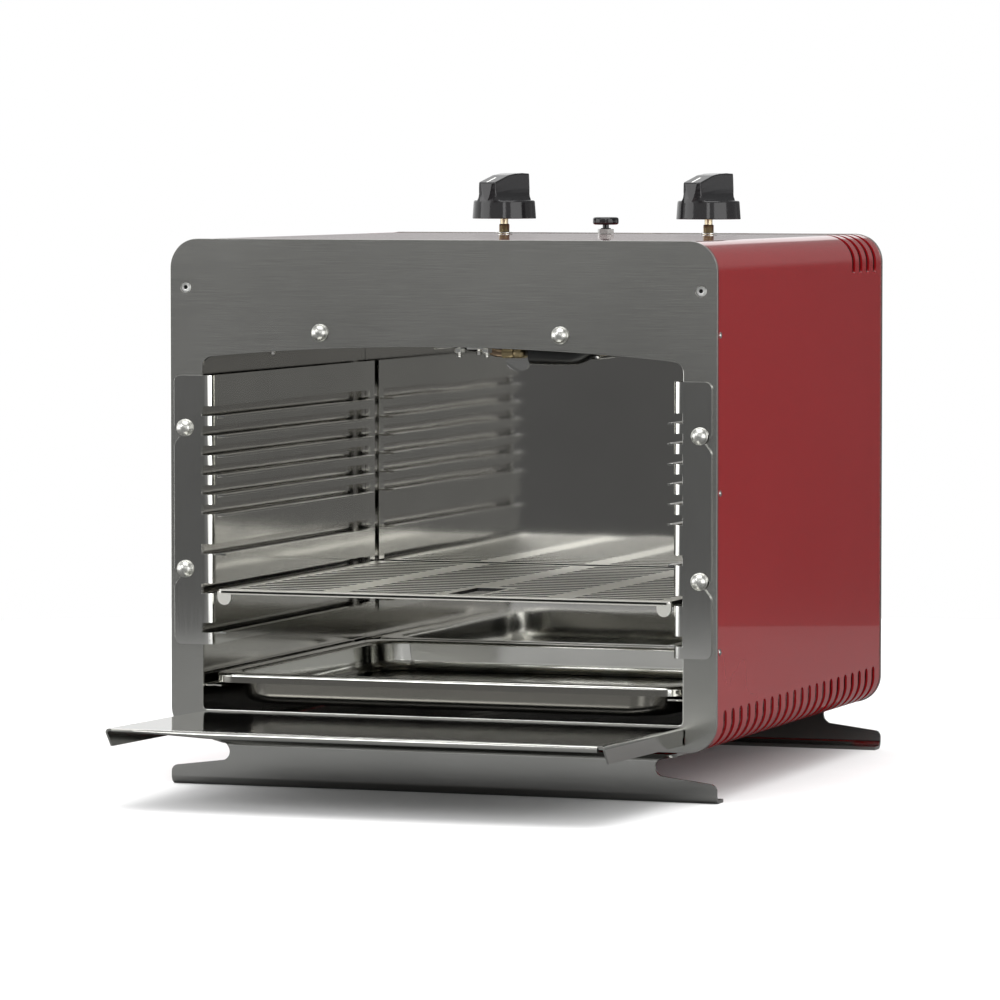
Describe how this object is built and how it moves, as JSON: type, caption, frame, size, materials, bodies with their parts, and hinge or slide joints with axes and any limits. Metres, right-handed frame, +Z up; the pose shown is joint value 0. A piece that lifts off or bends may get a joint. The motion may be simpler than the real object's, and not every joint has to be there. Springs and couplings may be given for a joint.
{
  "type": "tabletop gas grill",
  "caption": "Tabletop gas grill with top heat: stainless front with an arched mouth, red sheet body, rail cages, sliding grate and drip pan, lift-off front shelf and two knobs on top.",
  "frame": {"origin": "centre of the ground rectangle under the whole grill, on the ground", "axes": "x is the width, right seen from the front; y runs from the mouth at -y to the rear; z is up"},
  "size_m": [0.4116, 0.609, 0.4369],
  "materials": {
    "brushed_steel": "brushed",
    "polished_steel": "polished",
    "bright_steel": "bright",
    "red_powder_coat": "satin gloss",
    "black_plastic": "gloss",
    "brass": "turned",
    "burner_ceramic": "matte"
  },
  "bodies": {
    "grill_body": {"front_panel": "brushed_steel", "rear_panel": "brushed_steel", "outer_shell": "red_powder_coat", "front_foot": "brushed_steel", "rear_foot": "brushed_steel", "left_rail_cage": "polished_steel", "right_rail_cage": "polished_steel", "left_liner": "polished_steel", "right_liner": "polished_steel", "back_liner": "polished_steel", "left_pan_runner": "polished_steel", "right_pan_runner": "polished_steel", "dome_nut_left_upper": "bright_steel", "dome_nut_left_lower": "bright_steel", "dome_nut_top_left": "bright_steel", "dome_nut_right_upper": "bright_steel", "dome_nut_right_lower": "bright_steel", "dome_nut_top_right": "bright_steel", "left_panel_screw": "bright_steel", "right_panel_screw": "bright_steel", "left_tap": "brass", "right_tap": "brass", "left_shaft_ring": "bright_steel", "right_shaft_ring": "bright_steel", "igniter_body": "black_plastic", "igniter_nut": "bright_steel", "burner_frame": "polished_steel", "left_burner_box": "bright_steel", "right_burner_box": "bright_steel", "left_burner_plaque": "burner_ceramic", "right_burner_plaque": "burner_ceramic", "left_mixing_tube": "bright_steel", "right_mixing_tube": "bright_steel", "left_jet": "brass", "right_jet": "brass", "left_jet_bracket": "bright_steel", "right_jet_bracket": "bright_steel", "left_bracket_nut_outer": "bright_steel", "left_bracket_nut_inner": "bright_steel", "right_bracket_nut_outer": "bright_steel", "right_bracket_nut_inner": "bright_steel", "left_thermocouple": "bright_steel", "right_thermocouple": "bright_steel", "left_electrode": "burner_ceramic", "right_electrode": "burner_ceramic", "left_gas_pipe": "brass", "right_gas_pipe": "brass", "gas_manifold": "brass", "gas_inlet": "brass", "front_shelf": "polished_steel"},
    "grate": {"grate": "bright_steel"},
    "drip_pan": {"drip_pan": "polished_steel"},
    "left_push": {"left_push_pin": "bright_steel"},
    "right_push": {"right_push_pin": "bright_steel"},
    "left_knob": {"left_knob": "black_plastic", "left_spindle": "brass"},
    "right_knob": {"right_knob": "black_plastic", "right_spindle": "brass"},
    "igniter_button": {"igniter_button": "black_plastic"}
  },
  "joints": [
    {"name": "grate_slide", "type": "slide", "parent": "grill_body", "child": "grate", "axis": [0, -1, 0], "range_m": [0, 0.24]},
    {"name": "pan_slide", "type": "slide", "parent": "grill_body", "child": "drip_pan", "axis": [0, -1, 0], "range_m": [0, 0.25]},
    {"name": "left_knob_push", "type": "slide", "parent": "grill_body", "child": "left_push", "axis": [0, 0, -1], "range_m": [0, 0.003], "stiffness_N_per_m": 400, "springref_m": -0.004},
    {"name": "left_knob_turn", "type": "hinge", "parent": "left_push", "child": "left_knob", "pos_m": [-0.082, 0.2345, 0.415], "axis": [0, 0, 1], "range_deg": [0, 210]},
    {"name": "right_knob_push", "type": "slide", "parent": "grill_body", "child": "right_push", "axis": [0, 0, -1], "range_m": [0, 0.003], "stiffness_N_per_m": 400, "springref_m": -0.004},
    {"name": "right_knob_turn", "type": "hinge", "parent": "right_push", "child": "right_knob", "pos_m": [0.082, 0.2345, 0.415], "axis": [0, 0, 1], "range_deg": [0, 210]},
    {"name": "igniter_press", "type": "slide", "parent": "grill_body", "child": "igniter_button", "axis": [0, 0, -1], "range_m": [0, 0.0022], "stiffness_N_per_m": 400, "springref_m": -0.004}
  ]
}
